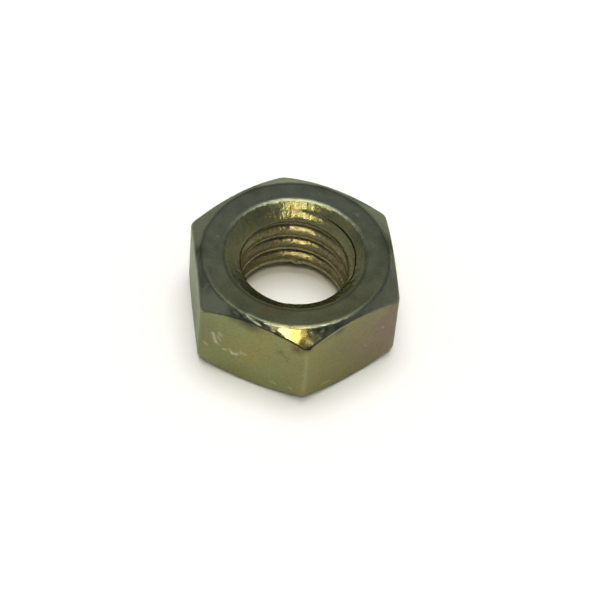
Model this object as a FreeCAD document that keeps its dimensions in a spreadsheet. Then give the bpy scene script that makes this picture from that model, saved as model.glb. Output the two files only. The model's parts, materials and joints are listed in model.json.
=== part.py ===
import FreeCAD, Part

import math
import os

import Sketcher

# Hex nut with an M5 x 0.8 right-hand thread, chamfered and countersunk on both faces.
# All sizes are in millimetres. The origin is at the centre of the lower bearing face,
# +Z runs up the thread axis, +X leaves through the middle of a spanner flat and
# +Y leaves through a corner.

# Outer body
ACROSS_FLATS = 8.0
HEIGHT = 3.9
CORNER_ROUNDING = 0.4
CHAMFER_CIRCLE_DIAMETER = 7.57
UPPER_CHAMFER_ANGLE = math.radians(34.5)
LOWER_CHAMFER_ANGLE = math.radians(30.0)
CHAMFER_CROWN_RADIUS = 15.0
CUTTER_MARGIN = 0.4

# Bore and countersinks
MINOR_DIAMETER = 4.3
COUNTERSINK_DIAMETER = 5.73
UPPER_COUNTERSINK_DEPTH = 0.5
LOWER_COUNTERSINK_DEPTH = 0.72

# Thread groove: a 60 degree V with a flat root one eighth of the pitch wide
THREAD_PITCH = 0.8
MAJOR_DIAMETER = 5.0
FLANK_ANGLE = math.radians(30.0)
ROOT_FLAT = THREAD_PITCH / 8
GROOVE_LEVEL = 0.298
TURNS_BELOW = 2
TURNS_CUT = 7
MOUTH_OVERLAP = 0.1

# Dimensions that follow from those above
FLAT_DISTANCE = ACROSS_FLATS / 2
CORNER_DISTANCE = FLAT_DISTANCE / math.cos(math.pi / 6)
CHAMFER_RADIUS = CHAMFER_CIRCLE_DIAMETER / 2
CUTTER_RADIUS = CORNER_DISTANCE + CUTTER_MARGIN
UPPER_CHAMFER_DROP = (CUTTER_RADIUS - CHAMFER_RADIUS) * math.tan(UPPER_CHAMFER_ANGLE)
LOWER_CHAMFER_DROP = (CUTTER_RADIUS - CHAMFER_RADIUS) * math.tan(LOWER_CHAMFER_ANGLE)
MOUTH_RADIUS = MINOR_DIAMETER / 2 - MOUTH_OVERLAP
ROOT_RADIUS = MAJOR_DIAMETER / 2
MOUTH_WIDTH = ROOT_FLAT + 2 * (ROOT_RADIUS - MOUTH_RADIUS) * math.tan(FLANK_ANGLE)

SIZES = {
    "flat_distance": FLAT_DISTANCE,
    "height": HEIGHT,
    "corner_rounding": CORNER_ROUNDING,
    "chamfer_radius": CHAMFER_RADIUS,
    "chamfer_crown_radius": CHAMFER_CROWN_RADIUS,
    "cutter_radius": CUTTER_RADIUS,
    "upper_chamfer_level": HEIGHT - UPPER_CHAMFER_DROP,
    "lower_chamfer_level": LOWER_CHAMFER_DROP,
    "minor_radius": MINOR_DIAMETER / 2,
    "countersink_radius": COUNTERSINK_DIAMETER / 2,
    "upper_countersink_level": HEIGHT - UPPER_COUNTERSINK_DEPTH,
    "lower_countersink_level": LOWER_COUNTERSINK_DEPTH,
    "thread_pitch": THREAD_PITCH,
    "thread_start": GROOVE_LEVEL - TURNS_BELOW * THREAD_PITCH,
    "thread_rise": TURNS_CUT * THREAD_PITCH,
    "mouth_radius": MOUTH_RADIUS,
    "mouth_width": MOUTH_WIDTH,
    "root_radius": ROOT_RADIUS,
    "root_flat": ROOT_FLAT,
}

# Numbers that the sketcher gives to its own origin, to its two axes and to the ends of a line
ORIGIN = (-1, 1)
ACROSS_AXIS = -1
UPWARD_AXIS = -2
START = 1
END = 2
CENTRE = 3

# How far apart two directions may be and still count as parallel, in radians
PARALLEL_WITHIN = 1e-6


def add_sizes(doc):
    """Writes every size to the sheet, under its own name."""
    sheet = doc.addObject("Spreadsheet::Sheet", "sizes")
    for row, (name, value) in enumerate(SIZES.items(), start=1):
        sheet.set(f"A{row}", name)
        sheet.set(f"B{row}", repr(value))
        sheet.setAlias(f"B{row}", name)
    doc.recompute()
    return sheet


def origin_plane(body, role):
    """Finds one of the body's own origin planes."""
    return next(item for item in body.Origin.OriginFeatures if item.Role == role)


def add_sketch(body, name, role):
    """Adds an empty sketch on one of the body's origin planes."""
    sketch = body.newObject("Sketcher::SketchObject", name)
    sketch.AttachmentSupport = [(origin_plane(body, role), "")]
    sketch.MapMode = "FlatFace"
    return sketch


def hold(sketch, kind, *geometry, size):
    """Adds a dimension whose value is read from the sheet."""
    number = sketch.addConstraint(Sketcher.Constraint(kind, *geometry, SIZES[size]))
    sketch.setExpression(f"Constraints[{number}]", f"sizes.{size}")


def crowned_side(start, end, radius):
    """An arc of that radius, anticlockwise from start to end."""
    chord = end - start
    sagitta = radius - math.sqrt(radius**2 - chord.Length**2 / 4)
    outwards = FreeCAD.Vector(chord.y, -chord.x, 0).normalize()
    return Part.Arc(start, (start + end) / 2 + outwards * sagitta, end)


def add_polygon(sketch, points, crown=None):
    """Draws a closed outline of straight sides. Returns the number of each side.

    crown names the size that is the first side's radius, if that side is an arc.
    """
    lines = []
    for index, point in enumerate(points):
        start = FreeCAD.Vector(*point, 0)
        end = FreeCAD.Vector(*points[(index + 1) % len(points)], 0)
        if crown and index == 0:
            side = crowned_side(start, end, SIZES[crown])
        else:
            side = Part.LineSegment(start, end)
        lines.append(sketch.addGeometry(side, False))
    for index, line in enumerate(lines):
        following = lines[(index + 1) % len(lines)]
        sketch.addConstraint(Sketcher.Constraint("Coincident", line, END, following, START))
    if crown:
        hold(sketch, "Radius", lines[0], size=crown)
    return lines


def hold_corner(sketch, line, across, up):
    """Holds a line's start at two sizes from the origin. Without a size, it is on the axis."""
    if across:
        hold(sketch, "DistanceX", *ORIGIN, line, START, size=across)
    else:
        sketch.addConstraint(Sketcher.Constraint("PointOnObject", line, START, UPWARD_AXIS))
    if up:
        hold(sketch, "DistanceY", *ORIGIN, line, START, size=up)
    else:
        sketch.addConstraint(Sketcher.Constraint("PointOnObject", line, START, ACROSS_AXIS))


def add_outline(sketch, corners, crown=None):
    """Draws an outline whose corners are pairs of size names, and holds it to the sheet."""
    points = [(SIZES.get(across, 0), SIZES.get(up, 0)) for across, up in corners]
    for line, (across, up) in zip(add_polygon(sketch, points, crown), corners):
        hold_corner(sketch, line, across, up)


def add_hexagon(body):
    """Pads the hexagonal blank, with one corner on the +Y side."""
    sketch = add_sketch(body, "hexagon_sketch", "XY_Plane")
    angles = [math.radians(-30 + 60 * index) for index in range(6)]
    points = [(CORNER_DISTANCE * math.cos(a), CORNER_DISTANCE * math.sin(a)) for a in angles]
    lines = add_polygon(sketch, points)
    circle = Part.Circle(FreeCAD.Vector(0, 0, 0), FreeCAD.Vector(0, 0, 1), CORNER_DISTANCE)
    around = sketch.addGeometry(circle, True)
    sketch.addConstraint(Sketcher.Constraint("Coincident", around, CENTRE, *ORIGIN))
    for line in lines:
        sketch.addConstraint(Sketcher.Constraint("PointOnObject", line, START, around))
    for line in lines[1:]:
        sketch.addConstraint(Sketcher.Constraint("Equal", lines[0], line))
    sketch.addConstraint(Sketcher.Constraint("Vertical", lines[0]))
    hold(sketch, "DistanceX", *ORIGIN, lines[0], START, size="flat_distance")
    pad = body.newObject("PartDesign::Pad", "hexagon")
    pad.Profile = sketch
    pad.setExpression("Length", "sizes.height")
    body.Document.recompute()
    return pad


def round_corners(body, blank):
    """Rounds the six upright edges of the blank."""
    upright = []
    for number, edge in enumerate(blank.Shape.Edges, start=1):
        direction = edge.tangentAt(edge.FirstParameter)
        if direction.isParallel(FreeCAD.Vector(0, 0, 1), PARALLEL_WITHIN):
            upright.append(f"Edge{number}")
    fillet = body.newObject("PartDesign::Fillet", "rounded_corners")
    fillet.Base = (blank, upright)
    fillet.setExpression("Radius", "sizes.corner_rounding")
    body.Document.recompute()
    return fillet


def turn_away(body, name, outlines, crown=None):
    """Cuts outlines, each turned once round the thread axis, out of the body."""
    sketch = add_sketch(body, f"{name}_sketch", "XZ_Plane")
    for corners in outlines:
        add_outline(sketch, corners, crown)
    groove = body.newObject("PartDesign::Groove", name)
    groove.Profile = sketch
    groove.ReferenceAxis = (sketch, ["V_Axis"])
    groove.Angle = 360
    groove.Refine = False
    body.Document.recompute()
    return groove


def chamfer_faces(body):
    """Turns the corners of both faces down to the chamfer circle, with a slight crown."""
    upper = [
        ("cutter_radius", "upper_chamfer_level"),
        ("chamfer_radius", "height"),
        ("cutter_radius", "height"),
    ]
    lower = [
        ("chamfer_radius", None),
        ("cutter_radius", "lower_chamfer_level"),
        ("cutter_radius", None),
    ]
    return turn_away(body, "chamfers", [upper, lower], crown="chamfer_crown_radius")


def drill_bore(body):
    """Drills the plain bore, at the minor diameter of the thread, right through.

    Its circle is two half turns, so the wall is two half cylinders.
    """
    sketch = add_sketch(body, "bore_sketch", "XY_Plane")
    middle = FreeCAD.Vector(0, 0, 0)
    whole = Part.Circle(middle, FreeCAD.Vector(0, 0, 1), SIZES["minor_radius"])
    first = sketch.addGeometry(Part.ArcOfCircle(whole, 0, math.pi), False)
    second = sketch.addGeometry(Part.ArcOfCircle(whole, math.pi, 2 * math.pi), False)
    sketch.addConstraint(Sketcher.Constraint("Coincident", first, CENTRE, *ORIGIN))
    sketch.addConstraint(Sketcher.Constraint("Coincident", second, CENTRE, *ORIGIN))
    sketch.addConstraint(Sketcher.Constraint("Coincident", first, END, second, START))
    sketch.addConstraint(Sketcher.Constraint("Coincident", second, END, first, START))
    sketch.addConstraint(Sketcher.Constraint("PointOnObject", first, START, ACROSS_AXIS))
    sketch.addConstraint(Sketcher.Constraint("PointOnObject", first, END, ACROSS_AXIS))
    hold(sketch, "Radius", first, size="minor_radius")
    bore = body.newObject("PartDesign::Pocket", "bore")
    bore.Profile = sketch
    bore.Type = "ThroughAll"
    bore.Midplane = True
    bore.Refine = False
    body.Document.recompute()
    return bore


def countersink_ends(body):
    """Opens both ends of the bore with a cone a little wider than the thread."""
    upper = [
        ("minor_radius", "upper_countersink_level"),
        ("countersink_radius", "height"),
        ("minor_radius", "height"),
    ]
    lower = [
        ("minor_radius", None),
        ("countersink_radius", None),
        ("minor_radius", "lower_countersink_level"),
    ]
    return turn_away(body, "countersinks", [upper, lower])


def cut_thread(body):
    """Sweeps the thread groove up the bore, from below the nut to above it."""
    sketch = add_sketch(body, "thread_sketch", "XZ_Plane")
    sketch.setExpression("AttachmentOffset.Base.y", "sizes.thread_start")
    points = [
        (MOUTH_RADIUS, -MOUTH_WIDTH / 2),
        (ROOT_RADIUS, -ROOT_FLAT / 2),
        (ROOT_RADIUS, ROOT_FLAT / 2),
        (MOUTH_RADIUS, MOUTH_WIDTH / 2),
    ]
    lower_flank, root, upper_flank, mouth = add_polygon(sketch, points)
    sketch.addConstraint(Sketcher.Constraint("Symmetric", mouth, END, mouth, START, ACROSS_AXIS))
    sketch.addConstraint(Sketcher.Constraint("Symmetric", root, START, root, END, ACROSS_AXIS))
    hold(sketch, "DistanceX", *ORIGIN, lower_flank, START, size="mouth_radius")
    hold(sketch, "DistanceX", *ORIGIN, upper_flank, START, size="root_radius")
    hold(sketch, "DistanceY", mouth, END, mouth, START, size="mouth_width")
    hold(sketch, "DistanceY", root, START, root, END, size="root_flat")
    thread = body.newObject("PartDesign::SubtractiveHelix", "thread")
    thread.Profile = sketch
    thread.ReferenceAxis = (sketch, ["V_Axis"])
    thread.Mode = "pitch-height-angle"
    thread.setExpression("Pitch", "sizes.thread_pitch")
    thread.setExpression("Height", "sizes.thread_rise")
    thread.Angle = 0
    thread.LeftHanded = False
    thread.Reversed = False
    thread.Refine = False
    body.Document.recompute()
    return thread


def build_nut(doc):
    """Builds the whole nut, which is one piece of steel."""
    body = doc.addObject("PartDesign::Body", "hex_nut")
    body.Label = "hex_nut"
    blank = add_hexagon(body)
    round_corners(body, blank)
    chamfer_faces(body)
    drill_bore(body)
    countersink_ends(body)
    body.Tip = cut_thread(body)
    doc.recompute()
    return body


def check(doc, bodies):
    """Stops before anything is written if a feature failed or a sub-part is not a sound solid."""
    for item in doc.Objects:
        if "Invalid" in item.State or "Error" in item.State:
            raise RuntimeError(f"{item.Label} did not build: {item.State}")
    for body in bodies:
        shape = body.Shape
        if shape.isNull() or not shape.isValid() or len(shape.Solids) != 1:
            raise RuntimeError(f"{body.Label} is not one sound solid")
        print(body.Label, "volume", round(shape.Volume, 3), "faces", len(shape.Faces))


document = FreeCAD.newDocument("hex_nut")
add_sizes(document)
sub_parts = [build_nut(document)]
check(document, sub_parts)
os.makedirs("parts", exist_ok=True)
for sub_part in sub_parts:
    sub_part.Shape.exportStep(f"parts/{sub_part.Label}.step")
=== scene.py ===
import json
import math
import random

import bpy
import numpy as np
from mathutils import Matrix, Vector, noise


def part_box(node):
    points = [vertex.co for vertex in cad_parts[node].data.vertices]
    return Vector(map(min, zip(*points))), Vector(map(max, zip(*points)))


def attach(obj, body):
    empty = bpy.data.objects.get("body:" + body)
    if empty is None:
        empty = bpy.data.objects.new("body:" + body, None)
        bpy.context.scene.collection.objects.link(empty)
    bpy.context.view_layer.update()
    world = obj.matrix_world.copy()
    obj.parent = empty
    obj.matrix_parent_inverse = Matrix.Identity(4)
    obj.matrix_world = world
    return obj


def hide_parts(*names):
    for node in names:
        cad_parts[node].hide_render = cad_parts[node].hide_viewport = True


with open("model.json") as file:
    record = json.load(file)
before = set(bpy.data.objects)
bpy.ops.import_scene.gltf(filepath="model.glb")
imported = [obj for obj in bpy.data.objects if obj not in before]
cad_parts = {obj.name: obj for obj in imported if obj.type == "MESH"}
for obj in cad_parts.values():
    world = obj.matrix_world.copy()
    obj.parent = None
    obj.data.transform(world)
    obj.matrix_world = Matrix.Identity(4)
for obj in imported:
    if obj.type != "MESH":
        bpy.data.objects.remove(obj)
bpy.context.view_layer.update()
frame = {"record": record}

# A hex nut in zinc-plated steel with a yellow to olive chromate film.
# Lengths are in millimetres until a mesh or an object is made, and MM turns them into metres.
# +Z is the thread axis, +X leaves through the middle of a flat and +Y leaves through a corner.
MM = 0.001

LOW, HIGH = (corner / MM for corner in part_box("hex_nut"))
MOUNTS = {mount["name"]: mount for mount in frame["record"]["mounts"]}

# Outer body
HEIGHT = HIGH.z - LOW.z
FLAT_DISTANCE = (HIGH.x - LOW.x) / 2
CORNER_ROUNDING = 0.4
CHAMFER_RADIUS = 3.785
UPPER_CHAMFER_SLOPE = math.tan(math.radians(34.5))
LOWER_CHAMFER_SLOPE = math.tan(math.radians(30.0))
CHAMFER_CROWN = 0.018

# Bore, countersinks and thread
MINOR_RADIUS = MOUNTS["thread"]["dims"]["r_mm"]
MAJOR_RADIUS = 2.5
COUNTERSINK_RADIUS = 2.865
UPPER_COUNTERSINK_DEPTH = 0.5
LOWER_COUNTERSINK_DEPTH = 0.72
PITCH = 0.8
GROOVE_LEVEL = 0.298
ROOT_FLAT = PITCH / 8
FLANK_SLOPE = math.tan(math.radians(30.0))

# How far each edge is eased, from the sharp corner to where the easing starts
RIM_EASE = 0.035
CIRCLE_EASE = 0.04
FLAT_EASE = 0.06
ROOT_EASE = 0.03
CREST_EASE = 0.25
SINK_EASE = 0.03

# How finely the mesh is divided
CORNER_STEPS = 8
FLAT_STEPS = 80
THREAD_STEPS = 16
EASE_STEPS = 3
FACE_STEPS = 8
CHAMFER_STEPS = 8
SIDE_STEPS = 44


def soft_max(a, b, width):
    """The larger of a and b, with the change from one to the other eased over width."""
    near = np.maximum(width - np.abs(a - b), 0) / width
    return np.maximum(a, b) + near * near * width / 4


def column_angles():
    """The angles of the mesh's columns: even along a flat, and closer together round a corner."""
    turn_in = CORNER_ROUNDING * math.sin(math.pi / 6) / (FLAT_DISTANCE / math.cos(math.pi / 6))
    angles = []
    for index in range(6):
        corner = math.radians(30 + 60 * index)
        flat = math.radians(60) - 2 * turn_in
        angles += [corner - turn_in + 2 * turn_in * step / CORNER_STEPS for step in range(CORNER_STEPS)]
        angles += [corner + turn_in + flat * step / FLAT_STEPS for step in range(FLAT_STEPS)]
    return np.array(angles)


def outer_radius(angles):
    """How far the side of the nut is from the axis at each angle."""
    from_corner = np.mod(angles, math.pi / 3) - math.pi / 6
    from_flat = math.pi / 6 - np.abs(from_corner)
    on_flat = FLAT_DISTANCE / np.cos(from_flat)
    centre = (FLAT_DISTANCE - CORNER_ROUNDING) / math.cos(math.pi / 6)
    under_root = np.maximum(CORNER_ROUNDING**2 - (centre * np.sin(from_corner)) ** 2, 0)
    on_corner = centre * np.cos(from_corner) + np.sqrt(under_root)
    reach = CORNER_ROUNDING / 2
    return np.where(np.abs(on_corner * np.sin(from_corner)) < reach, on_corner, on_flat)


def bore_radius(angles, levels):
    """How far the threaded wall is from the axis at each angle and height."""
    from_groove = levels - PITCH * angles / (2 * math.pi) - GROOVE_LEVEL
    from_groove = np.abs(np.mod(from_groove + PITCH / 2, PITCH) - PITCH / 2)
    flank = MAJOR_RADIUS - (from_groove - ROOT_FLAT / 2) / FLANK_SLOPE
    groove = -soft_max(-flank, np.full_like(flank, -MAJOR_RADIUS), ROOT_EASE)
    widening = COUNTERSINK_RADIUS - MINOR_RADIUS
    upper = COUNTERSINK_RADIUS - (HEIGHT - levels) * widening / UPPER_COUNTERSINK_DEPTH
    lower = COUNTERSINK_RADIUS - levels * widening / LOWER_COUNTERSINK_DEPTH
    wall = soft_max(groove, np.full_like(groove, MINOR_RADIUS), CREST_EASE)
    return soft_max(soft_max(wall, upper, SINK_EASE), lower, SINK_EASE)


def outline_corners(radii):
    """The sharp corners of the section outside the bore, from the upper rim to the lower one."""
    upper_drop = (radii - CHAMFER_RADIUS) * UPPER_CHAMFER_SLOPE - CHAMFER_CROWN
    lower_drop = (radii - CHAMFER_RADIUS) * LOWER_CHAMFER_SLOPE - CHAMFER_CROWN
    even = np.ones_like(radii)
    return [
        (COUNTERSINK_RADIUS * even, HEIGHT * even, RIM_EASE),
        (CHAMFER_RADIUS * even, HEIGHT * even, CIRCLE_EASE),
        (radii, HEIGHT - upper_drop, FLAT_EASE),
        (radii, lower_drop, FLAT_EASE),
        (CHAMFER_RADIUS * even, 0 * even, CIRCLE_EASE),
        (COUNTERSINK_RADIUS * even, 0 * even, RIM_EASE),
    ]


def towards(start, end, distance):
    """The point at that distance from start on the way to end, for whole rings at once."""
    along = np.stack([end[0] - start[0], end[1] - start[1]])
    along = along / np.hypot(*along)
    return start[0] + along[0] * distance, start[1] + along[1] * distance


def outer_rows(radii, rim_foot):
    """Rings of points from one end of the bore round to the other.

    Each is (radius, height, how near an edge, which surface). rim_foot gives, for each end, the
    point on the countersink where the eased rim starts.
    """
    corners = outline_corners(radii)
    surfaces = ["face", "chamfer", "flat", "chamfer", "face"]
    steps = [FACE_STEPS, CHAMFER_STEPS, SIDE_STEPS, CHAMFER_STEPS, FACE_STEPS]
    rows = []
    for index, (radius, level, ease) in enumerate(corners):
        corner = (radius, level)
        before = rim_foot[0] if index == 0 else towards(corner, corners[index - 1], ease)
        after = rim_foot[1] if index == len(steps) else towards(corner, corners[index + 1], ease)
        for step in range(EASE_STEPS + 1):
            t = step / EASE_STEPS
            weights = ((1 - t) ** 2, 2 * t * (1 - t), t**2)
            blend = [sum(w * p[axis] for w, p in zip(weights, (before, corner, after))) for axis in (0, 1)]
            first, last = max(index - 1, 0), min(index, len(surfaces) - 1)
            rows.append((*blend, 1 - abs(2 * t - 1), surfaces[first if t < 0.5 else last]))
        if index < len(steps):
            following = corners[index + 1]
            far_end = towards(following, corner, following[2])
            for step in range(1, steps[index]):
                t = step / steps[index]
                between = [(1 - t) * after[axis] + t * far_end[axis] for axis in (0, 1)]
                rows.append((*between, 0, surfaces[index]))
    return rows


def bore_grid(angles, ends):
    """Rows that climb with the thread, cut off at the two end heights.

    Returns the height of every row at every angle. After one full turn, a row meets the row
    THREAD_STEPS above it.
    """
    rise = PITCH / THREAD_STEPS
    climb = PITCH * angles / (2 * math.pi)
    first = math.floor((ends[0] - climb.max() - GROOVE_LEVEL) / rise) - THREAD_STEPS
    last = math.ceil((ends[1] - climb.min() - GROOVE_LEVEL) / rise) + THREAD_STEPS
    levels = GROOVE_LEVEL + rise * np.arange(first, last + 1)[:, None] + climb[None, :]
    levels = np.where(levels < ends[0] + rise / 3, ends[0], levels)
    return np.where(levels > ends[1] - rise / 3, ends[1], levels)


class Shell:
    """Collects the points and faces of one closed skin."""

    def __init__(self):
        self.points = []
        self.edge = []
        self.surface = []
        self.faces = []

    def add_point(self, radius, angle, level, edge, surface):
        self.points.append((radius * math.cos(angle), radius * math.sin(angle), level))
        self.edge.append(edge)
        self.surface.append(surface)
        return len(self.points) - 1

    def add_face(self, corners):
        """Adds a face. Corners that are one point count once, so a quad can become a triangle."""
        once = list(dict.fromkeys(corners))
        if len(once) > 2:
            self.faces.append(once)


def add_bore(shell, angles):
    """Adds the threaded wall.

    Returns the numbers of the points in its lowest and its highest ring, the radii of both rings
    and their two heights.
    """
    widening = COUNTERSINK_RADIUS - MINOR_RADIUS
    ends = (
        RIM_EASE * LOWER_COUNTERSINK_DEPTH / math.hypot(LOWER_COUNTERSINK_DEPTH, widening),
        HEIGHT - RIM_EASE * UPPER_COUNTERSINK_DEPTH / math.hypot(UPPER_COUNTERSINK_DEPTH, widening),
    )
    levels = bore_grid(angles, ends)
    radii = bore_radius(angles[None, :], levels)
    rows, columns = levels.shape
    number = np.zeros((rows, columns), int)
    for column in range(columns):
        for row in range(rows):
            level = levels[row, column]
            if row and level == levels[row - 1, column]:
                number[row, column] = number[row - 1, column]
            else:
                place = (radii[row, column], angles[column], level)
                number[row, column] = shell.add_point(*place, edge=0, surface="bore")
    for column in range(columns):
        wraps = column == columns - 1
        climb = THREAD_STEPS if wraps else 0
        following = 0 if wraps else column + 1
        for row in range(rows - 1 - climb):
            shell.add_face(
                [
                    number[row, column],
                    number[row + 1, column],
                    number[row + 1 + climb, following],
                    number[row + climb, following],
                ]
            )
    return number[0], number[-1], radii[0], radii[-1], ends


def add_outside(shell, angles, lower_ring, upper_ring, rim_feet):
    """Adds the two faces, the chamfers and the flats, between the two ends of the bore."""
    rows = outer_rows(outer_radius(angles), rim_feet)
    columns = len(angles)
    rings = [upper_ring]
    for radius, level, edge, surface in rows[1:-1]:
        ring = [
            shell.add_point(radius[column], angles[column], level[column], edge, surface)
            for column in range(columns)
        ]
        rings.append(ring)
    rings.append(lower_ring)
    for above, below in zip(rings, rings[1:]):
        for column in range(columns):
            following = (column + 1) % columns
            shell.add_face([above[column], below[column], below[following], above[following]])


def on_flat(facing, across, level):
    """A place on the flat that faces that way, so far to its right and so high."""
    turn = math.radians(facing)
    outwards = Vector((math.cos(turn), math.sin(turn), 0))
    rightwards = Vector((-math.sin(turn), math.cos(turn), 0))
    return outwards * FLAT_DISTANCE + rightwards * across + Vector((0, 0, level))


def on_chamfer(radius, angle):
    """A place on the upper chamfer, so far from the axis and at that angle."""
    turn = math.radians(angle)
    level = HEIGHT - (radius - CHAMFER_RADIUS) * UPPER_CHAMFER_SLOPE
    return Vector((radius * math.cos(turn), radius * math.sin(turn), level))


def on_face(radius, angle):
    """A place on the upper face, so far from the axis and at that angle."""
    turn = math.radians(angle)
    return Vector((radius * math.cos(turn), radius * math.sin(turn), HEIGHT))


# The directions that the flats on the left and the right of the front corner face
LEFT = -120
RIGHT = -60

# Scratches and knocks: start, end, width, depth and how much bare metal they show
SCRATCHES = [
    (on_flat(LEFT, -1.72, 2.31), on_flat(LEFT, -1.57, 1.82), 0.120, 0.016, 0.60),
    (on_flat(LEFT, -1.46, 2.46), on_flat(LEFT, -1.34, 2.34), 0.100, 0.012, 0.45),
    (on_flat(LEFT, -1.50, 2.24), on_flat(LEFT, -1.38, 2.02), 0.090, 0.012, 0.35),
    (on_flat(LEFT, -2.08, 1.52), on_flat(LEFT, -1.96, 1.46), 0.100, 0.012, 0.45),
    (on_flat(LEFT, -1.57, 1.82), on_flat(LEFT, -1.44, 1.74), 0.090, 0.008, 0.30),
    (on_flat(LEFT, -1.25, 1.56), on_flat(LEFT, -1.10, 1.60), 0.095, 0.012, 0.45),
    (on_flat(LEFT, -0.95, 1.70), on_flat(LEFT, -0.85, 1.50), 0.090, 0.014, 0.45),
    (on_flat(LEFT, -0.85, 1.50), on_flat(LEFT, -0.66, 1.54), 0.115, 0.014, 0.65),
    (on_flat(LEFT, -0.66, 1.54), on_flat(LEFT, -0.46, 1.74), 0.085, 0.010, 0.35),
    (on_flat(LEFT, -0.46, 1.74), on_flat(LEFT, -0.24, 1.74), 0.090, 0.012, 0.45),
    (on_flat(LEFT, 0.87, 0.66), on_flat(LEFT, 1.09, 0.64), 0.075, 0.016, 0.50),
    (on_flat(LEFT, 1.70, 0.72), on_flat(LEFT, 1.78, 0.70), 0.080, 0.012, 0.50),
    (on_flat(RIGHT, -1.35, 0.62), on_flat(RIGHT, -0.95, 0.58), 0.070, 0.014, 0.50),
    (on_flat(RIGHT, 1.50, 2.32), on_flat(RIGHT, 1.60, 2.22), 0.060, 0.012, 0.45),
    (on_flat(RIGHT, 0.74, 1.61), on_flat(RIGHT, 0.80, 1.57), 0.060, 0.008, 0.35),
    (on_flat(RIGHT, -2.28, 3.00), on_flat(RIGHT, -2.26, 0.80), 0.130, 0.004, 0.20),
    (on_chamfer(3.97, -88), on_chamfer(4.00, -86), 0.060, 0.010, 0.35),
    (on_chamfer(4.00, -82), on_chamfer(3.93, -80), 0.055, 0.010, 0.30),
    (on_chamfer(3.89, -135), on_chamfer(3.90, -132), 0.060, 0.008, 0.22),
    (on_chamfer(3.84, -128), on_chamfer(3.86, -126), 0.055, 0.008, 0.20),
    (on_face(3.15, 162), on_face(3.25, 160), 0.050, 0.003, 0.20),
    (on_face(3.30, 36), on_face(3.38, 31), 0.050, 0.003, 0.20),
]

# Dents that keep their film, darkened by dirt and painted shade: start, end, width, depth
DENTS = [
    (on_chamfer(3.78, -125), on_chamfer(3.80, -122), 0.14, 0.016),
    (on_chamfer(3.83, -120), on_chamfer(3.86, -117), 0.14, 0.016),
    (on_chamfer(3.94, -115), on_chamfer(3.96, -112), 0.14, 0.014),
    (on_chamfer(4.05, -107), on_chamfer(4.12, -103), 0.12, 0.012),
    # Hardly pressed in: this one is almost only painted shade
    (on_chamfer(3.92, -85), on_chamfer(3.95, -78), 0.20, 0.002),
    (on_chamfer(4.36, -92), on_chamfer(4.48, -89), 0.24, 0.012),
]

# Small torn burrs at the foot of the bore: angle, how far they stand in, how wide they are
BURRS = [(74.0, 0.07, 0.12), (78.0, 0.10, 0.14), (81.5, 0.08, 0.12), (88.0, 0.05, 0.12)]
BURR_LEVEL = LOWER_COUNTERSINK_DEPTH + 0.04
BURR_HEIGHT = 0.10

# Places where the film differs in colour, each with how far it reaches. The darker patches on the
# right-front and left flats are film tone and painted shade, and the dark patches either side of the front
# corner are painted shade.
PATCHES = {
    "blush": [
        (on_flat(RIGHT, 2.2, 2.0), 3.6),
        (on_flat(0, -1.0, 2.4), 2.6),
        (on_flat(120, 1.4, 1.0), 2.2),
    ],
    "tan_and_painted_shade": [
        (on_flat(RIGHT, -0.4, 2.0), 3.8),
        (on_flat(60, 0.5, 2.5), 2.4),
        (on_flat(120, -1.5, 2.6), 2.0),
    ],
    "sage_and_painted_shade": [(on_flat(180, 0.4, 2.0), 3.9), (on_flat(60, -1.6, 1.2), 2.2)],
    "smudge": [
        (on_flat(LEFT, 1.95, 3.30), 0.45),
        (on_flat(LEFT, 1.2, 2.6), 0.5),
        (on_face(3.1, -118), 0.5),
    ],
    "golden": [(on_chamfer(4.05, -94), 1.45)],
    "tarnish_and_painted_shade": [
        # These four, either side of the front corner, are painted shade round its highlight; the others
        # are tarnish
        (on_chamfer(3.85, -133), 0.7),
        (on_chamfer(3.88, -122), 0.75),
        (on_chamfer(4.02, -81), 0.62),
        (on_chamfer(4.00, -71), 0.5),
        (on_chamfer(3.88, 4), 0.6),
        (on_chamfer(3.95, 44), 0.7),
        (on_chamfer(3.88, 68), 0.5),
        (on_chamfer(3.95, 111), 0.7),
        (on_chamfer(3.90, 174), 0.6),
    ],
}

# Edges whose film has worn through: place, reach and how much
POLISHED = [(on_chamfer(3.80, -74), 1.4, 0.70), (on_chamfer(3.80, 47), 1.2, 0.40)]
POLISH_EVERYWHERE = 0.04

# Short nicks on the flats behind, which lie where they may. Each pair is the least and the most
UNSEEN_FLATS = (0, 60, 120, 180)
NICKS_PER_FLAT = 6
NICK_SEED = 11
NICK_ACROSS = (-1.9, 1.9)
NICK_LEVEL = (0.6, 3.1)
NICK_LENGTH = (0.08, 0.45)
NICK_WIDTH = (0.05, 0.08)
NICK_DEPTH = (0.006, 0.014)
NICK_BARE = (0.2, 0.5)

# Unevenness: how long its lumps are, how far they go in or vary, and the seed of their noise
WAVES = (1.6, 0.006, 1)
CHAMFER_LUMPS = (0.26, 0.014, 2)
BORE_LUMPS = (0.16, 0.024, 3)
EDGE_NICKS = (0.22, 0.020, 4)
PATCH_EDGES = (1.1, 0.9, 5)

# Dirt and painted shade in the thread's root start this far outside the minor radius, and are full this
# much further
DIRT_AND_SHADE_FROM = 0.22
DIRT_AND_SHADE_OVER = 0.07

# The bore's film starts to turn brown this far below the upper face, and is brown this much lower
BROWN_FROM = 0.15
BROWN_OVER = 1.0


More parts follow.
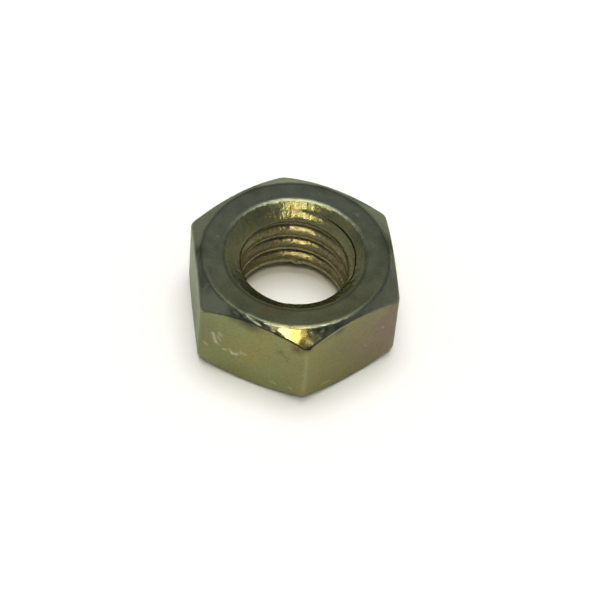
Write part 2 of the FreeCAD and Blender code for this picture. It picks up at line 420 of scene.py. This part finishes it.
def unseen_nicks():
    """A few short nicks on each flat behind, as in SCRATCHES."""
    dice = random.Random(NICK_SEED)
    nicks = []
    for facing in UNSEEN_FLATS:
        for _ in range(NICKS_PER_FLAT):
            across = dice.uniform(*NICK_ACROSS)
            level = dice.uniform(*NICK_LEVEL)
            turn = dice.uniform(0, math.pi)
            length = dice.uniform(*NICK_LENGTH)
            start = on_flat(facing, across, level)
            end = on_flat(facing, across + length * math.cos(turn), level + length * math.sin(turn) / 2)
            width = dice.uniform(*NICK_WIDTH)
            depth = dice.uniform(*NICK_DEPTH)
            bare = dice.uniform(*NICK_BARE)
            nicks.append((start, end, width, depth, bare))
    return nicks


def eased(value):
    """A smooth step from 0 to 1."""
    value = np.clip(value, 0, 1)
    return value * value * (3 - 2 * value)


def near_stroke(points, start, end, width):
    """1 on the line from start to end, falling to 0 at that width from it."""
    start = np.array(start)
    along = np.array(end) - start
    t = np.clip((points - start) @ along / (along @ along), 0, 1)
    gap = np.linalg.norm(points - start - t[:, None] * along, axis=1)
    return eased(1 - gap / width)


def near_place(points, place, reach, ragged=0):
    """1 at a place, falling to 0 at that reach from it, or a little nearer or further if ragged."""
    return eased(1 - np.linalg.norm(points - np.array(place), axis=1) / (reach * (1 + ragged)))


def uneven(points, unevenness, middle=0.0):
    """Smooth noise that runs from 0 to the unevenness's depth.

    A middle of 0.5 lowers it by half of that depth, so that it runs both ways from 0.
    """
    size, depth, seed = unevenness
    shift = Vector((seed, 2 * seed, 3 * seed))
    rise = np.array([0.5 + 0.5 * noise.noise(Vector(p) / size + shift) for p in points])
    return depth * (rise - middle)


def pressed_depth(points, surface, edge, scratches):
    """How far each point goes in from the smooth skin. A burr stands out, so its depth is negative."""
    bore = surface == "bore"
    lump_size, _, _ = BORE_LUMPS
    from_end = np.minimum(points[:, 2], HEIGHT - points[:, 2])
    within = bore * eased((from_end - RIM_EASE) / lump_size)
    depth = ~bore * uneven(points, WAVES)
    depth += (surface == "chamfer") * uneven(points, CHAMFER_LUMPS)
    depth += within * uneven(points, BORE_LUMPS, middle=0.5)
    depth += ~bore * edge * uneven(points, EDGE_NICKS)
    for start, end, width, pressed, _ in scratches:
        depth += pressed * near_stroke(points, start, end, width)
    for start, end, width, pressed in DENTS:
        depth += pressed * near_stroke(points, start, end, width)
    for angle, stand, width in BURRS:
        turn = math.radians(angle)
        foot = (MINOR_RADIUS * math.cos(turn), MINOR_RADIUS * math.sin(turn))
        low = (*foot, BURR_LEVEL - BURR_HEIGHT)
        high = (*foot, BURR_LEVEL)
        depth -= bore * stand * near_stroke(points, low, high, width)
    return depth


def film_layers(points, surface, edge):
    """How much of each surface, patch and kind of film there is at each point, by name, with the painted
    shade in the thread's root and in some patches.
    """
    bore = (surface == "bore").astype(float)
    ragged = uneven(points, PATCH_EDGES, middle=0.5)
    layers = {}
    for name, places in PATCHES.items():
        amount = sum(near_place(points, place, reach, ragged) for place, reach in places)
        layers[name] = np.clip(amount, 0, 1) * (1 - bore)
    polish = sum(amount * near_place(points, place, reach) for place, reach, amount in POLISHED)
    radii = np.hypot(points[:, 0], points[:, 1])
    levels = points[:, 2]
    threaded = (levels < HEIGHT - UPPER_COUNTERSINK_DEPTH) & (levels > LOWER_COUNTERSINK_DEPTH)
    return {
        **layers,
        "edge": edge * (POLISH_EVERYWHERE + polish),
        "bore": bore,
        "chamfer": (surface == "chamfer").astype(float),
        "face": (surface == "face").astype(float),
        "root": eased((radii - MINOR_RADIUS - DIRT_AND_SHADE_FROM) / DIRT_AND_SHADE_OVER) * bore * threaded,
        "deep": eased((HEIGHT - levels - BROWN_FROM) / BROWN_OVER) * bore,
    }


def weather(mesh, shell):
    """Presses the skin in where it is uneven, dented or scratched, and raises the burrs.

    Stores on the mesh's points how much of each kind of wear, film and painted shade there is.
    """
    points = np.array(shell.points)
    surface = np.array(shell.surface)
    edge = np.array(shell.edge)
    normals = np.zeros(len(points) * 3)
    mesh.vertex_normals.foreach_get("vector", normals)
    scratches = SCRATCHES + unseen_nicks()
    worn = sum(bare * near_stroke(points, start, end, width) for start, end, width, _, bare in scratches)
    dent_dirt_and_shade = sum(near_stroke(points, start, end, width) for start, end, width, _ in DENTS)
    depth = pressed_depth(points, surface, edge, scratches)
    points = points - normals.reshape(-1, 3) * depth[:, None]
    mesh.vertices.foreach_set("co", (points * MM).ravel())
    layers = film_layers(points, surface, edge)
    layers["worn"] = np.clip(worn, 0, 1)
    layers["dent_dirt_and_shade"] = np.clip(dent_dirt_and_shade, 0, 1)
    for name, values in layers.items():
        mesh.attributes.new(name, "FLOAT", "POINT").data.foreach_set("value", values)


def make_nut():
    """Makes the whole skin of the nut as one closed mesh object."""
    angles = column_angles()
    shell = Shell()
    lower_ring, upper_ring, lower_radii, upper_radii, ends = add_bore(shell, angles)
    even = np.ones_like(angles)
    rim_feet = ((upper_radii, ends[1] * even), (lower_radii, ends[0] * even))
    add_outside(shell, angles, lower_ring, upper_ring, rim_feet)
    mesh = bpy.data.meshes.new("nut")
    mesh.from_pydata([Vector(p) * MM for p in shell.points], [], shell.faces)
    weather(mesh, shell)
    mesh.shade_smooth()
    mesh.update()
    nut = bpy.data.objects.new("plated_hex_nut", mesh)
    bpy.context.scene.collection.objects.link(nut)
    return nut


def join(tree, value, socket):
    """Links a socket's value, or sets it if it is a number or a colour."""
    if isinstance(value, bpy.types.NodeSocket):
        tree.links.new(value, socket)
    elif isinstance(value, tuple) and socket.type == "RGBA":
        socket.default_value = (*value, 1)
    else:
        socket.default_value = value


def mix_colour(tree, amount, first, second):
    """The first colour, changed into the second by an amount from 0 to 1."""
    node = tree.nodes.new("ShaderNodeMix")
    node.data_type = "RGBA"
    factor, first_socket, second_socket, result = 0, 6, 7, 2
    join(tree, amount, node.inputs[factor])
    join(tree, first, node.inputs[first_socket])
    join(tree, second, node.inputs[second_socket])
    return node.outputs[result]


def maths(tree, operation, *values):
    """The result of a sum, difference, product and so on, of two or three values."""
    node = tree.nodes.new("ShaderNodeMath")
    node.operation = operation
    for value, socket in zip(values, node.inputs):
        join(tree, value, socket)
    return node.outputs[0]


def times(tree, first, second):
    """One value multiplied by another."""
    return maths(tree, "MULTIPLY", first, second)


def between(tree, value, low, high, bottom=0.0, top=1.0):
    """Spreads the values from low to high smoothly over bottom to top."""
    node = tree.nodes.new("ShaderNodeMapRange")
    node.interpolation_type = "SMOOTHSTEP"
    join(tree, value, node.inputs["Value"])
    join(tree, low, node.inputs["From Min"])
    join(tree, high, node.inputs["From Max"])
    join(tree, bottom, node.inputs["To Min"])
    join(tree, top, node.inputs["To Max"])
    return node.outputs["Result"]


def clouds(tree, place, size, detail, roughness=0.5):
    """Noise whose largest patches are about that many millimetres long."""
    node = tree.nodes.new("ShaderNodeTexNoise")
    join(tree, place, node.inputs["Vector"])
    join(tree, 1 / size, node.inputs["Scale"])
    join(tree, float(detail), node.inputs["Detail"])
    join(tree, roughness, node.inputs["Roughness"])
    return node.outputs["Fac"]


def read_layer(tree, name):
    """How much there is of what weather() stored under that name."""
    node = tree.nodes.new("ShaderNodeAttribute")
    node.attribute_name = name
    return node.outputs["Fac"]


# Colours of the chromate film on the flats, as linear light
OLIVE = (0.246, 0.224, 0.092)
GREEN = (0.222, 0.233, 0.103)
GOLD = (0.240, 0.200, 0.066)
# The next two are darker film tones, also painted shade on the right-front and the left flat
TAN_AND_PAINTED_SHADE = (0.203, 0.190, 0.087)
SAGE_GREEN_AND_PAINTED_SHADE = (0.150, 0.172, 0.092)
MAUVE = (0.206, 0.153, 0.116)

# Its colours on the two faces, the chamfers and the bore
# The faces' olive and grey are film tones; their change from olive in front to grey behind is a painted
# reflection
FACE_GREY = (0.126, 0.139, 0.095)
FACE_OLIVE = (0.110, 0.114, 0.060)
CHAMFER_GREY = (0.158, 0.168, 0.108)
CHAMFER_GOLD = (0.150, 0.128, 0.044)
SINK_OLIVE = (0.128, 0.137, 0.077)
BORE_BROWN = (0.292, 0.256, 0.132)
BORE_GOLD = (0.220, 0.188, 0.038)
BORE_PINK = (0.230, 0.155, 0.090)

# Colours of wear and dirt, the tarnish and the dirt also used as painted shade, and the tint of
# reflections seen along the surface
TARNISH_AND_PAINTED_SHADE = (0.070, 0.078, 0.048)
BARE = (0.560, 0.570, 0.430)
DIRT_AND_SHADE = (0.035, 0.030, 0.014)
BROWN = (0.110, 0.078, 0.036)
GRAZING = (0.65, 0.70, 0.62)

# The two faces turn from olive in front to grey behind between these places along Y, which wander by this
# much. This change is a painted reflection laid on the film's colour
OLIVE_TO = -3.5
GREY_FROM = 3.5
WANDER = 2.0

# How long the patches of each noise are
DRIFT_SIZE = 2.6
MOTTLE_SIZE = 0.55
GRAIN_SIZE = 0.10

# Where a noise starts and stops to turn one thing into another, then how much at each end
GREEN_TO_OLIVE = (0.40, 0.60)
TO_GOLD = (0.50, 0.80)
BLUSH_MOTTLE = (0.2, 0.6, 0.7, 1.1)
BORE_SPARKLE = (0.48, 0.60, 0.0, 0.6)
BORE_PINKNESS = (0.56, 0.70, 0.0, 0.5)
SMUDGE_MOTTLE = (0.35, 0.65)
TARNISH_AND_SHADE_MOTTLE = (0.25, 0.55, 0.6, 1.0)
EDGE_MOTTLE = (0.35, 0.65, 0.4, 1.0)
WORN_GRAIN = (0.35, 0.55, 0.5, 1.0)
DARK_GRAIN = (0.40, 0.65, 0.0, 0.16)
ROUGHNESS = (0.3, 0.7, 0.30, 0.36)

# How strongly dirt and painted shade fill the thread's root and the dents
ROOT_DIRT_AND_SHADE = 0.55
DENT_DIRT_AND_SHADE = 0.8

# How wear and surface change the gloss
WORN_ROUGHER = 0.2
BORE_SMOOTHER = 0.08
CHAMFER_SMOOTHER = 0.11
THREAD_LESS_METALLIC = 0.35

# How high the bumps are, how strong outside and how much stronger in the bore
BUMP_HEIGHT = 0.016
BUMP_OUTSIDE = 0.035
BUMP_IN_BORE = 0.90
MOTTLE_IN_BUMP = 1.5


def flat_colour(tree, drift, mottle):
    """The film on the flats: green to olive with golden mottling, and the patches, the darker ones on the
    right-front and left flats being film tone and painted shade.
    """
    colour = mix_colour(tree, between(tree, drift, *GREEN_TO_OLIVE), GREEN, OLIVE)
    colour = mix_colour(tree, between(tree, mottle, *TO_GOLD), colour, GOLD)
    # Darker film tone, and painted shade on the right-front flat
    colour = mix_colour(tree, read_layer(tree, "tan_and_painted_shade"), colour, TAN_AND_PAINTED_SHADE)
    # Darker, greener film tone, and painted shade on the left flat
    colour = mix_colour(tree, read_layer(tree, "sage_and_painted_shade"), colour, SAGE_GREEN_AND_PAINTED_SHADE)
    blush = times(tree, read_layer(tree, "blush"), between(tree, mottle, *BLUSH_MOTTLE))
    return mix_colour(tree, blush, colour, MAUVE)


def face_film_and_painted_reflection(tree, place, mottle):
    """The film on the two faces, with a painted reflection: olive towards the front of the nut and grey
    towards its back.
    """
    axes = tree.nodes.new("ShaderNodeSeparateXYZ")
    tree.links.new(place, axes.inputs["Vector"])
    along = maths(tree, "MULTIPLY_ADD", maths(tree, "SUBTRACT", mottle, 0.5), WANDER, axes.outputs["Y"])
    return mix_colour(tree, between(tree, along, OLIVE_TO, GREY_FROM), FACE_OLIVE, FACE_GREY)


def bore_colour(tree, mottle, grain):
    """The film in the bore, the same all the way round: olive at the top and brown further down."""
    colour = mix_colour(tree, read_layer(tree, "deep"), SINK_OLIVE, BORE_BROWN)
    colour = mix_colour(tree, between(tree, grain, *BORE_SPARKLE), colour, BORE_GOLD)
    return mix_colour(tree, between(tree, mottle, *BORE_PINKNESS), colour, BORE_PINK)


def film_colour(tree, place, drift, mottle, grain):
    """The colour of the film on each surface before any wear, with a painted reflection on the faces and
    painted shade on two flats.
    """
    chamfer = mix_colour(tree, read_layer(tree, "golden"), CHAMFER_GREY, CHAMFER_GOLD)
    colour = flat_colour(tree, drift, mottle)
    # The faces' film, with a painted reflection from front to back
    colour = mix_colour(tree, read_layer(tree, "face"), colour, face_film_and_painted_reflection(tree, place, mottle))
    colour = mix_colour(tree, read_layer(tree, "chamfer"), colour, chamfer)
    return mix_colour(tree, read_layer(tree, "bore"), colour, bore_colour(tree, mottle, grain))


def worn_colour(tree, colour, worn, mottle, grain):
    """The film's colour with dirt and painted shade in the root and dents, smudges, tarnish and painted
    shade, polished edges, bare metal and fine grain.
    """
    # Dirt and painted shade in the thread's root
    colour = mix_colour(tree, times(tree, read_layer(tree, "root"), ROOT_DIRT_AND_SHADE), colour, DIRT_AND_SHADE)
    smudge = times(tree, read_layer(tree, "smudge"), between(tree, mottle, *SMUDGE_MOTTLE))
    colour = mix_colour(tree, smudge, colour, BROWN)
    # Dirt and painted shade in the dents
    colour = mix_colour(tree, times(tree, read_layer(tree, "dent_dirt_and_shade"), DENT_DIRT_AND_SHADE), colour, DIRT_AND_SHADE)
    # Tarnish, and painted shade beside the front corner's highlight
    tarnish_and_painted_shade = times(tree, read_layer(tree, "tarnish_and_painted_shade"), between(tree, mottle, *TARNISH_AND_SHADE_MOTTLE))
    colour = mix_colour(tree, tarnish_and_painted_shade, colour, TARNISH_AND_PAINTED_SHADE)
    edge = times(tree, read_layer(tree, "edge"), between(tree, mottle, *EDGE_MOTTLE))
    colour = mix_colour(tree, edge, colour, BARE)
    colour = mix_colour(tree, worn, colour, BARE)
    return mix_colour(tree, between(tree, grain, *DARK_GRAIN), colour, DIRT_AND_SHADE)


def set_gloss(tree, shader, worn, mottle):
    """Rougher where worn, smoother in the bore and on the chamfers, duller metal in the thread."""
    roughness = maths(tree, "ADD", between(tree, mottle, *ROUGHNESS), times(tree, worn, WORN_ROUGHER))
    smoother = times(tree, read_layer(tree, "bore"), BORE_SMOOTHER)
    roughness = maths(tree, "SUBTRACT", roughness, smoother)
    smoother = times(tree, read_layer(tree, "chamfer"), CHAMFER_SMOOTHER)
    roughness = maths(tree, "SUBTRACT", roughness, smoother)
    tree.links.new(roughness, shader.inputs["Roughness"])
    duller = times(tree, read_layer(tree, "deep"), THREAD_LESS_METALLIC)
    tree.links.new(maths(tree, "SUBTRACT", 1.0, duller), shader.inputs["Metallic"])
    shader.inputs["Specular Tint"].default_value = (*GRAZING, 1)


def add_bump(tree, shader, mottle, grain):
    """Faint bumps outside and stronger ones in the bore."""
    bump = tree.nodes.new("ShaderNodeBump")
    bump.inputs["Distance"].default_value = BUMP_HEIGHT * MM
    height = maths(tree, "ADD", times(tree, mottle, MOTTLE_IN_BUMP), grain)
    strength = maths(tree, "ADD", times(tree, read_layer(tree, "bore"), BUMP_IN_BORE), BUMP_OUTSIDE)
    tree.links.new(height, bump.inputs["Height"])
    tree.links.new(strength, bump.inputs["Strength"])
    tree.links.new(bump.outputs["Normal"], shader.inputs["Normal"])


def make_plating():
    """Zinc-plated steel under a chromate film that drifts from green through olive to mauve."""
    material = bpy.data.materials.new("plated_steel")
    material.use_nodes = True
    tree = material.node_tree
    shader = tree.nodes["Principled BSDF"]
    to_millimetres = tree.nodes.new("ShaderNodeMapping")
    to_millimetres.inputs["Scale"].default_value = (1 / MM, 1 / MM, 1 / MM)
    own_place = tree.nodes.new("ShaderNodeTexCoord").outputs["Object"]
    tree.links.new(own_place, to_millimetres.inputs["Vector"])
    place = to_millimetres.outputs["Vector"]

    drift = clouds(tree, place, DRIFT_SIZE, detail=2)
    mottle = clouds(tree, place, MOTTLE_SIZE, detail=5, roughness=0.6)
    grain = clouds(tree, place, GRAIN_SIZE, detail=3, roughness=0.6)
    worn = times(tree, read_layer(tree, "worn"), between(tree, grain, *WORN_GRAIN))
    film = film_colour(tree, place, drift, mottle, grain)
    tree.links.new(worn_colour(tree, film, worn, mottle, grain), shader.inputs["Base Color"])
    set_gloss(tree, shader, worn, mottle)
    add_bump(tree, shader, mottle, grain)
    return material


FLOOR_REACH = 2000
FLOOR_COLOUR = (0.85, 0.85, 0.84)
FLOOR_ROUGHNESS = 0.9


def add_floor():
    """A pale, matt floor that the nut lies on."""
    mesh = bpy.data.meshes.new("floor")
    reach = FLOOR_REACH * MM
    corners = [(-reach, -reach, 0), (reach, -reach, 0), (reach, reach, 0), (-reach, reach, 0)]
    mesh.from_pydata([Vector(c) for c in corners], [], [(0, 1, 2, 3)])
    floor = bpy.data.objects.new("floor", mesh)
    bpy.context.scene.collection.objects.link(floor)
    material = bpy.data.materials.new("pale_floor")
    material.use_nodes = True
    shader = material.node_tree.nodes["Principled BSDF"]
    shader.inputs["Base Color"].default_value = (*FLOOR_COLOUR, 1)
    shader.inputs["Roughness"].default_value = FLOOR_ROUGHNESS
    mesh.materials.append(material)


def direction(azimuth, elevation):
    """The unit vector from the nut towards something at that azimuth, 0 in front, and elevation."""
    a, e = math.radians(azimuth), math.radians(elevation)
    return Vector((math.sin(a) * math.cos(e), -math.cos(a) * math.cos(e), math.sin(e)))


# The camera: where it stands, in degrees and millimetres, and how far from the axis it aims
CAMERA_AZIMUTH = -10.1
CAMERA_ELEVATION = 51.1
CAMERA_ROLL = math.radians(5.2)
CAMERA_DISTANCE = 110.1
CAMERA_LENS = 160.5
CAMERA_SEES_FROM = 1
AIM_RIGHT = 0.42
AIM_UP = 0.59


def add_camera():
    """Looks down at the nut from the front and a little from its left, turned slightly."""
    back = direction(CAMERA_AZIMUTH, CAMERA_ELEVATION)
    level_right = direction(CAMERA_AZIMUTH + 90, 0)
    level_up = back.cross(level_right)
    right = math.cos(CAMERA_ROLL) * level_right + math.sin(CAMERA_ROLL) * level_up
    up = back.cross(right)
    place = back * CAMERA_DISTANCE
    aim = right * AIM_RIGHT + up * AIM_UP
    back = (place - aim).normalized()
    right = up.cross(back).normalized()
    up = back.cross(right)
    camera = bpy.data.objects.new("camera", bpy.data.cameras.new("camera"))
    camera.data.lens = CAMERA_LENS
    camera.data.clip_start = CAMERA_SEES_FROM * MM
    axes = Matrix((right, up, back)).transposed().to_4x4()
    camera.matrix_world = Matrix.Translation(place * MM) @ axes
    bpy.context.scene.collection.objects.link(camera)
    bpy.context.scene.camera = camera


LAMP_DISTANCE = 300
WARM = (1.0, 0.90, 0.60)
WHITE = (1.0, 1.0, 1.0)


def add_soft_light(name, azimuth, elevation, size, power, colour):
    """A round lamp that faces the nut. Its size is its diameter."""
    light = bpy.data.lights.new(name, "AREA")
    light.shape = "DISK"
    light.size = size * MM
    light.energy = power
    light.color = colour
    lamp = bpy.data.objects.new(name, light)
    towards_lamp = direction(azimuth, elevation)
    lamp.location = towards_lamp * LAMP_DISTANCE * MM
    lamp.rotation_mode = "QUATERNION"
    lamp.rotation_quaternion = towards_lamp.to_track_quat("Z", "Y")
    bpy.context.scene.collection.objects.link(lamp)


def add_lights():
    """A warm key light over the camera, weak lights on both sides and a wide one overhead."""
    add_soft_light("key", azimuth=-9, elevation=63, size=60, power=0.28, colour=WARM)
    add_soft_light("left", azimuth=-93, elevation=43, size=160, power=0.027, colour=WHITE)
    add_soft_light("right", azimuth=92, elevation=35, size=160, power=0.015, colour=WHITE)
    add_soft_light("overhead", azimuth=170, elevation=84, size=190, power=0.62, colour=WHITE)


# The room: pale up to the first height on the unit sphere, and dim and bluer from the second
SKY_PALE = (0.80, 0.80, 0.80)
SKY_DIM = (0.25, 0.27, 0.33)
SKY_PALE_TO = 0.25
SKY_DIM_FROM = 0.55


def set_world():
    """A pale room near the horizon and a dimmer, bluer ceiling above it."""
    world = bpy.data.worlds.new("room")
    world.use_nodes = True
    tree = world.node_tree
    outwards = tree.nodes.new("ShaderNodeTexCoord").outputs["Generated"]
    axes = tree.nodes.new("ShaderNodeSeparateXYZ")
    tree.links.new(outwards, axes.inputs["Vector"])
    rise = between(tree, axes.outputs["Z"], SKY_PALE_TO, SKY_DIM_FROM)
    sky = mix_colour(tree, rise, SKY_PALE, SKY_DIM)
    tree.links.new(sky, tree.nodes["Background"].inputs["Color"])
    bpy.context.scene.world = world


nut = make_nut()
nut.data.materials.append(make_plating())
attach(nut, "root")
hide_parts("hex_nut")
add_floor()
add_camera()
add_lights()
set_world()
bpy.context.scene.view_settings.view_transform = "Standard"
